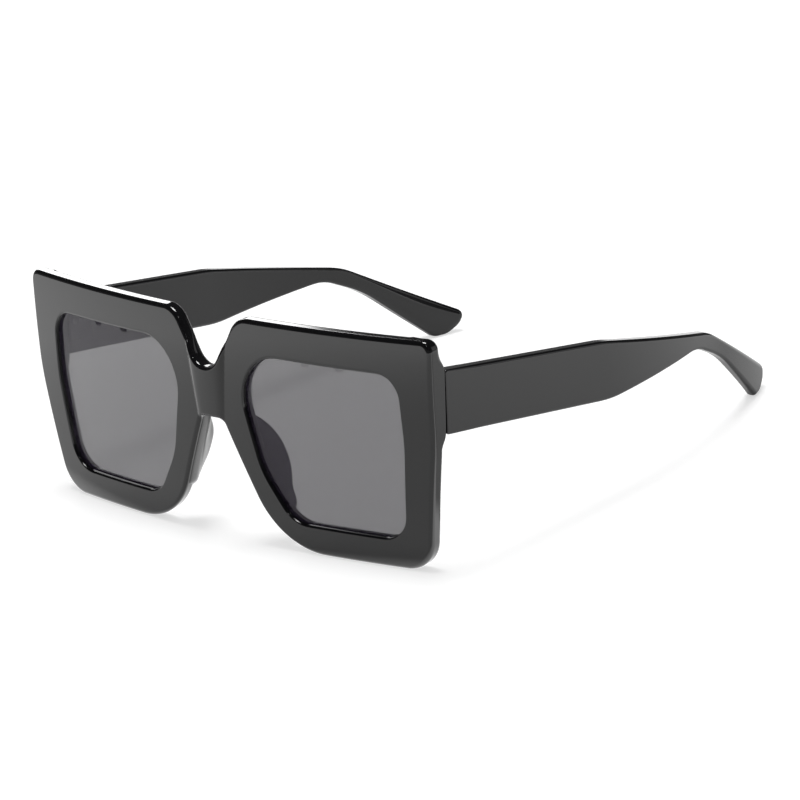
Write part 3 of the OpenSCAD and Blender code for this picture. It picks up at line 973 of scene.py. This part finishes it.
hinge_metal = stamped_metal("black_nickel_plated_leaf", "#2f2f31", "#262628", 0.3, 0.35)
screw_metal = stamped_metal("blackened_turned_steel", "#3c3c3e", "#303032", 0.24, 0.25)
core_metal = stamped_metal("drawn_core_wire", "#a7a6a3", "#8e8d8a", 0.35, 0.6)

# %% [markdown]
# ## What carries what
# The front with its lenses and pads is one body, and each temple is another; on the real frame
# a temple swings about its hinge. Every new piece rides on the body of the solid that it stands
# for and takes that solid's place; the metal parts of the hinges keep their own solids and get
# the metals above.

# %% Bodies, replaced solids and finishes
def dress(piece, material, body, slot, *nodes):
    piece.data.materials.append(material)
    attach(piece, body)
    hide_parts(*nodes)


dress(front_piece, frame_black, "front", "frame_plastic", "front_frame")
for s in ("left", "right"):
    dress(lens_pieces[s], lens_tint, "front", "smoke_lens", f"lens_{s}")
    dress(pad_pieces[s], pad_black, "front", "pad_plastic", f"nose_pad_{s}")
    dress(temple_pieces[s], frame_black, "temple_" + s[0], "frame_plastic", f"temple_{s}")

metal_of = {
    "leaf_screws": screw_metal, "hinge_screw": screw_metal, "leaf": hinge_metal, "core": core_metal,
}
for name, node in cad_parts.items():
    for word, metal in metal_of.items():
        if word in name:
            for place in node.material_slots:
                place.material = metal
            print(name, "->", metal.name)
            break

# %% [markdown]
# ## Studio
# The glasses stand on a white sweep under a large soft light, as small goods are photographed.
# A glossy black piece shows its surroundings more than its own colour, so the room matters: the
# bright floor gives the faces their grey, and the dark ceiling above the sweep gives the top
# edges their black band. The white of the floor and the wall is drawn for the camera and
# through glass only, so it doesn't add light to the object.
#
# Gloss doesn't show that white. Besides the lamps it sees a room that is dim at the wall and
# nearly black overhead. What it sees of the floor is a fit to the greys in the photograph and
# carries painted shade: a painted shadow near a spot before the glasses that lightens away from
# it, a painted shadow between the temples, and a painted glint, a strip under the nose pads that
# is brighter than white. Under other light the black pieces show other greys.

# %% Floor
# Painted shadow in what the gloss sees of the floor: dim at this spot before the glasses, brighter
# away from it
PAINTED_SHADOW_SPOT = (0.1, -0.17, 0.0)
PAINTED_SHADOW_GLOW, FAR_GLOW = 0.25, 0.7
# A painted glint: a strip under the nose pads, at this y, that the gloss sees brighter than white
PAINTED_GLINT_Y, PAINTED_GLINT_GLOW = -0.06, 1.7
DRAWN_GLOW = 0.6


# The floor: an even white for the camera and through glass; for the gloss, painted shadow and a
# painted glint
def white_floor_with_painted_gloss():
    material, tree = new_material("white_sweep")
    path = add(tree, "ShaderNodeLightPath").outputs
    drawn = reckon(tree, "MAXIMUM", path["Is Camera Ray"], path["Is Transmission Ray"])
    seen = reckon(tree, "MAXIMUM", drawn, path["Is Glossy Ray"])
    paper = add(tree, "ShaderNodeBsdfDiffuse", values={"Color": linear("#d0d0d0")})
    half = add(tree, "ShaderNodeBsdfDiffuse", values={"Color": linear("#bcbcbc")})

    place = add(tree, "ShaderNodeTexCoord").outputs["Object"]
    spot = add(
        tree, "ShaderNodeVectorMath", {"operation": "DISTANCE"}, {1: PAINTED_SHADOW_SPOT}, {0: place},
    ).outputs["Value"]
    parts = add(tree, "ShaderNodeSeparateXYZ", links={"Vector": place}).outputs
    # Painted shadow for the gloss: dim near the spot before the glasses, brighter away from it,
    # fading far off
    rise = reckon(tree, "POWER", carried(tree, spot, 0.05, 0.33, 0, 1, "LINEAR"), 2.0)
    rise = reckon(tree, "MULTIPLY_ADD", rise, FAR_GLOW, PAINTED_SHADOW_GLOW)
    fall = carried(tree, spot, 0.4, 1.0, 1, 0)
    # Painted shadow between the temples behind the front, where the glow drops to 0.4
    aside = carried(tree, reckon(tree, "ABSOLUTE", parts["X"]), 0.06, 0.1, 0, 1)
    ahead = carried(tree, parts["Y"], 0.0, 0.05, 1.0, 0.4)
    clear = reckon(tree, "MAXIMUM", aside, ahead)
    painted_shade_glow = reckon(tree, "MULTIPLY", reckon(tree, "MULTIPLY", rise, fall), clear)
    # Painted glint: the strip under the nose pads, brighter than white
    beside = reckon(tree, "ABSOLUTE", reckon(tree, "SUBTRACT", parts["Y"], PAINTED_GLINT_Y))
    painted_glint = reckon(tree, "MULTIPLY", carried(tree, beside, 0.008, 0.02, PAINTED_GLINT_GLOW, 0), fall)
    lit = add(
        tree, "ShaderNodeMix", values={"B": DRAWN_GLOW},
        links={"Factor": drawn, "A": reckon(tree, "MAXIMUM", painted_shade_glow, painted_glint)},
    )

    glow = add(
        tree, "ShaderNodeEmission", values={"Color": (1, 1, 1, 1)},
        links={"Strength": lit.outputs[0]},
    )
    bright = add(tree, "ShaderNodeAddShader", links={0: half.outputs[0], 1: glow.outputs[0]})
    both = add(
        tree, "ShaderNodeMixShader", links={0: seen, 1: paper.outputs[0], 2: bright.outputs[0]},
    )
    add(tree, "ShaderNodeOutputMaterial", links={"Surface": both.outputs[0]})
    return material


FLOOR_HALF = 6.0
floor_mesh = bpy.data.meshes.new("floor")
quarters = ((-1, -1), (1, -1), (1, 1), (-1, 1))
floor_corners = [(x * FLOOR_HALF, y * FLOOR_HALF, 0) for x, y in quarters]
floor_mesh.from_pydata(floor_corners, [], [(0, 1, 2, 3)])
floor_mesh.materials.append(white_floor_with_painted_gloss())
floor = bpy.data.objects.new("floor", floor_mesh)
bpy.context.scene.collection.objects.link(floor)

# %% Room
DUSK_LOW, DUSK_HIGH, FILL = 0.14, 0.03, 0.28

world = bpy.data.worlds.new("studio_room")
bpy.context.scene.world = world
world.use_nodes = True
room = world.node_tree
room.nodes.clear()
path = add(room, "ShaderNodeLightPath").outputs
ray = add(room, "ShaderNodeTexCoord").outputs["Generated"]
height = add(room, "ShaderNodeSeparateXYZ", links={"Vector": ray}).outputs["Z"]
dusk = carried(room, height, 0.18, 0.32, DUSK_LOW, DUSK_HIGH)
shown = reckon(
    room, "MAXIMUM", reckon(room, "MAXIMUM", path["Is Camera Ray"], path["Is Transmission Ray"]),
    reckon(room, "MULTIPLY", path["Is Glossy Ray"], dusk),
)
fill = reckon(room, "MULTIPLY", reckon(room, "SUBTRACT", 1.0, path["Is Glossy Ray"]), FILL)
back = add(
    room, "ShaderNodeBackground", values={"Color": (1, 1, 1, 1)},
    links={"Strength": reckon(room, "MAXIMUM", shown, fill)},
)
add(room, "ShaderNodeOutputWorld", links={"Surface": back.outputs[0]})

# %% Lamps
def soft_lamp(name, place, aim, size, power):
    lamp = bpy.data.lights.new(name, "AREA")
    lamp.shape = "SQUARE"
    lamp.size = size
    lamp.energy = power
    holder = bpy.data.objects.new(name, lamp)
    holder.location = place
    holder.rotation_euler = (Vector(aim) - Vector(place)).to_track_quat("-Z", "Y").to_euler()
    bpy.context.scene.collection.objects.link(holder)
    return holder


# The overhead box lights the sweep and lays the soft shadow. The others are for the gloss: a
# small one for the corner highlights, one whose reflection lies on the far half's top edge
# alone, and a faint one that lifts the wall of the brow notch out of the black.
soft_lamp("overhead_softbox", (-0.05, 0.05, 1.4), (0, 0, 0), 0.55, 15)
soft_lamp("catch_light", (0.55, -0.58, 1.0), (0, 0, 0), 0.06, 0.5)
rim_light = soft_lamp("rear_softbox", (-1.317, 0.813, 0.57), (0, 0, 0.05), 0.55, 6.0)
side_light = soft_lamp("side_softbox", (0.92, 0.92, 0.37), (0, 0, 0.05), 0.6, 0.6)
rim_light.visible_camera = side_light.visible_camera = False
